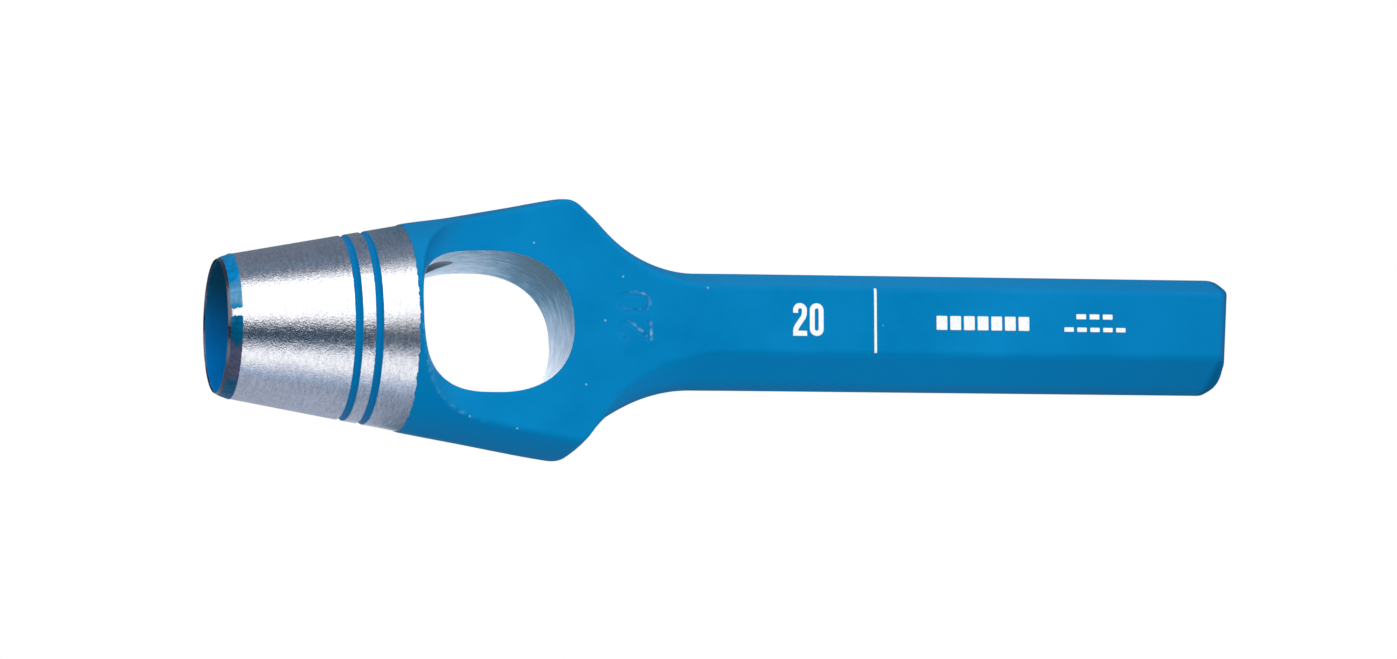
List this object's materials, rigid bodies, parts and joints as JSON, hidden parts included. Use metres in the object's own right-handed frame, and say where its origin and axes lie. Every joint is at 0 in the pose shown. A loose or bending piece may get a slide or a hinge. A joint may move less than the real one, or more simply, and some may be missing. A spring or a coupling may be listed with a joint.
{
  "type": "drive hole punch",
  "caption": "One-piece arch-type drive punch that cuts round holes in leather, with a tapered tube, an ejection window and a faceted striking shank.",
  "frame": {"origin": "centre of the circular cutting edge, on the tool's axis", "axes": "+X along the tool from the cutting edge to the striking end, +Z out of the marked flat, +Y across the arch so that the printed marks read upright along +X"},
  "size_m": [0.1577, 0.04, 0.0314],
  "materials": {
    "ground_steel": "ground around the axis, satin, bare",
    "blue_enamel": "semi-gloss blue baked enamel, about 0.15 mm thick",
    "white_print": "white printed ink on the enamel"
  },
  "bodies": {
    "root": {"punch_forging": "ground_steel", "body_enamel": "blue_enamel", "bore_enamel": "blue_enamel", "bevel_enamel": "blue_enamel", "groove_enamel_front": "blue_enamel", "groove_enamel_rear": "blue_enamel", "size_print": "white_print", "divider_print": "white_print", "bar_print": "white_print", "rule_print": "white_print"}
  },
  "joints": []
}
